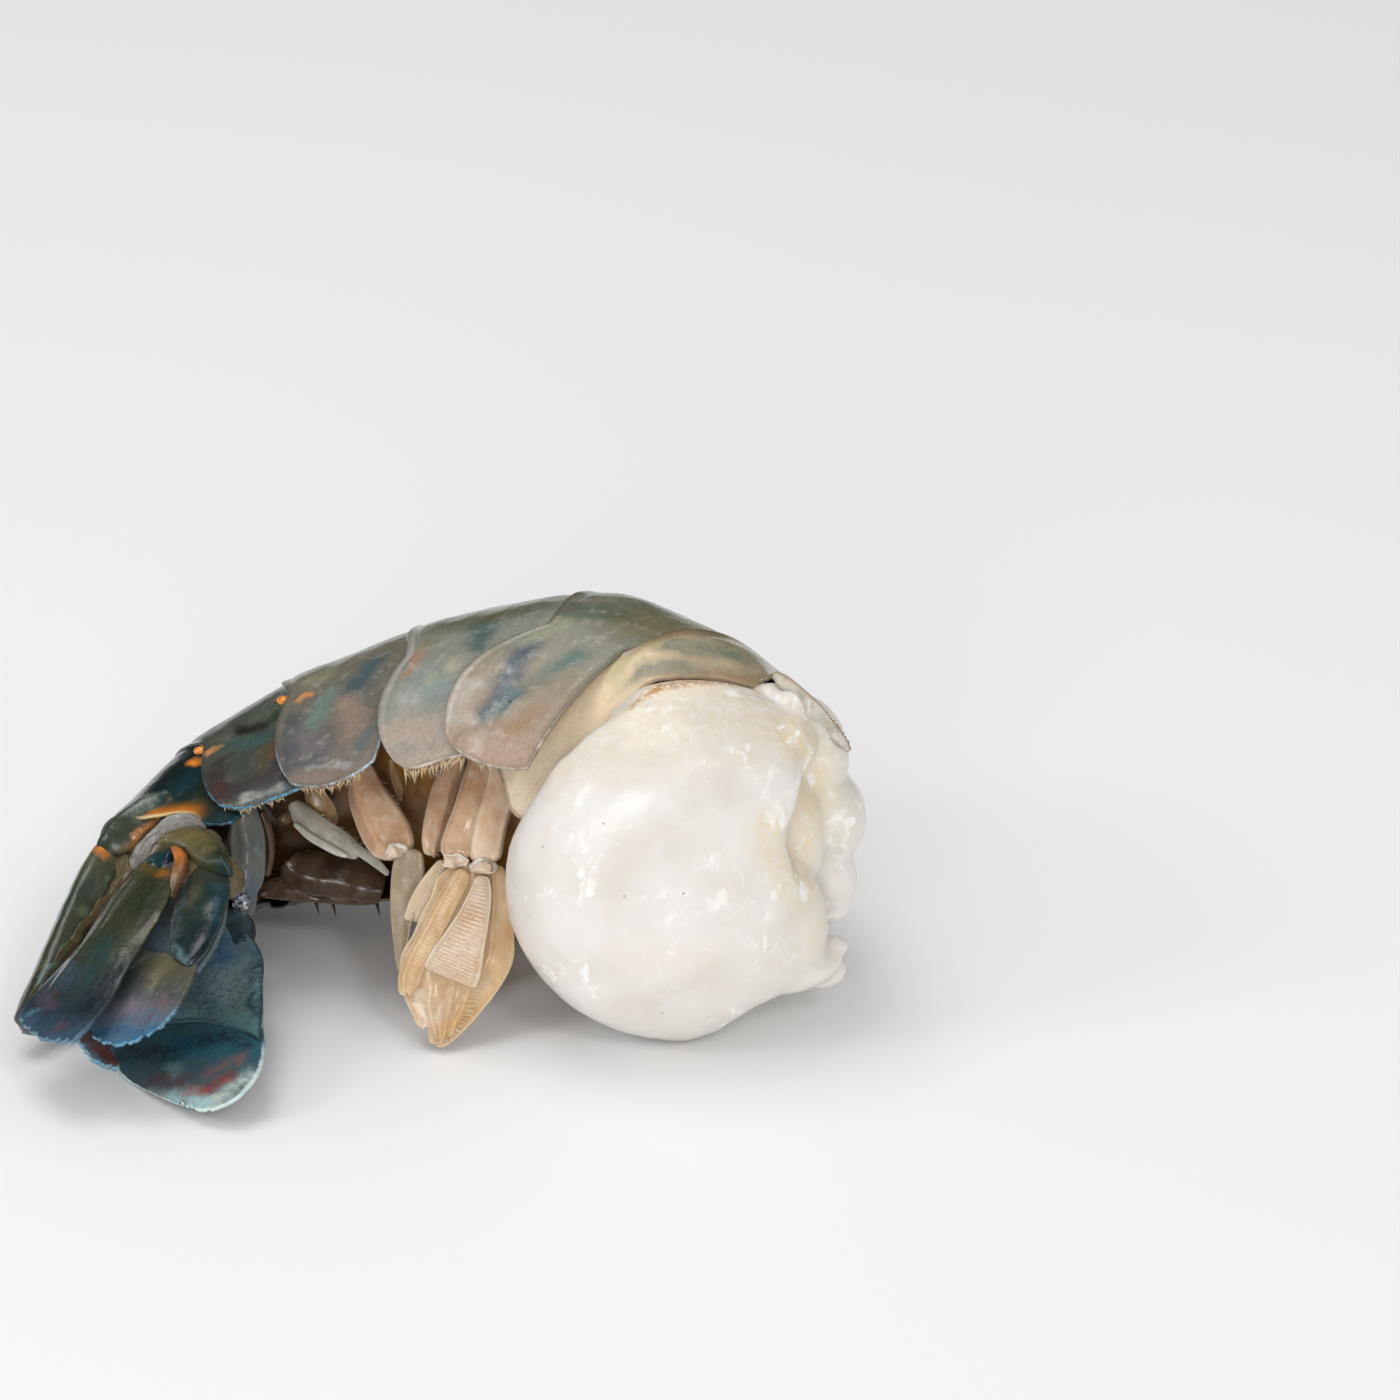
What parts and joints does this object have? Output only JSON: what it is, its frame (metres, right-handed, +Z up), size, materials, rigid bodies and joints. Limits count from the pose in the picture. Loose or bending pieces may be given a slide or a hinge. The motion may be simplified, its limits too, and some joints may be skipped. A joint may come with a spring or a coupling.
{
  "type": "raw freshwater prawn",
  "caption": "Headless raw freshwater prawn in its shell, lying on its side and curled, with the cut meat bulging out in front, swimming legs and a folded tail fan.",
  "frame": {"origin": "centre of the bounding box, on the floor that the prawn lies on", "axes": "+Z up, out of the prawn's right flank; +X the long way, from the tail fan to the cut face; the belly and the swimming legs face -Y"},
  "size_m": [0.0892, 0.065, 0.0396],
  "materials": {
    "flesh": "wet, milky raw meat",
    "shell_pale": "wet, thin shell, mottled olive and grey-beige",
    "shell_grey": "wet, thin shell, blue-grey",
    "shell_dark": "wet, thin shell, dark teal",
    "tail_fan": "wet, olive-green to blue-violet",
    "swimmeret": "wet, amber and pink, part see-through"
  },
  "bodies": {
    "root": {"meat": "flesh", "shell_1": "shell_pale", "shell_2": "shell_pale", "shell_3": "shell_pale", "shell_4": "shell_grey", "shell_5": "shell_dark", "shell_6": "shell_dark", "telson": "tail_fan", "uropod_base_right": "tail_fan", "endopod_right": "tail_fan", "exopod_right": "tail_fan", "uropod_base_left": "tail_fan", "endopod_left": "tail_fan", "exopod_left": "tail_fan", "swimmeret_1_right": "swimmeret", "swimmeret_1_right_blade_1": "swimmeret", "swimmeret_1_right_blade_2": "swimmeret", "swimmeret_1_left": "swimmeret", "swimmeret_1_left_blade_1": "swimmeret", "swimmeret_2_right": "swimmeret", "swimmeret_2_right_blade_1": "swimmeret", "swimmeret_2_left": "swimmeret", "swimmeret_2_left_blade_1": "swimmeret", "swimmeret_3_right": "swimmeret", "swimmeret_3_right_blade_1": "swimmeret", "swimmeret_3_left": "swimmeret", "swimmeret_3_left_blade_1": "swimmeret", "swimmeret_4_right": "swimmeret", "swimmeret_4_right_blade_1": "swimmeret", "swimmeret_4_left": "swimmeret", "swimmeret_4_left_blade_1": "swimmeret", "swimmeret_5_right": "swimmeret"}
  },
  "joints": []
}
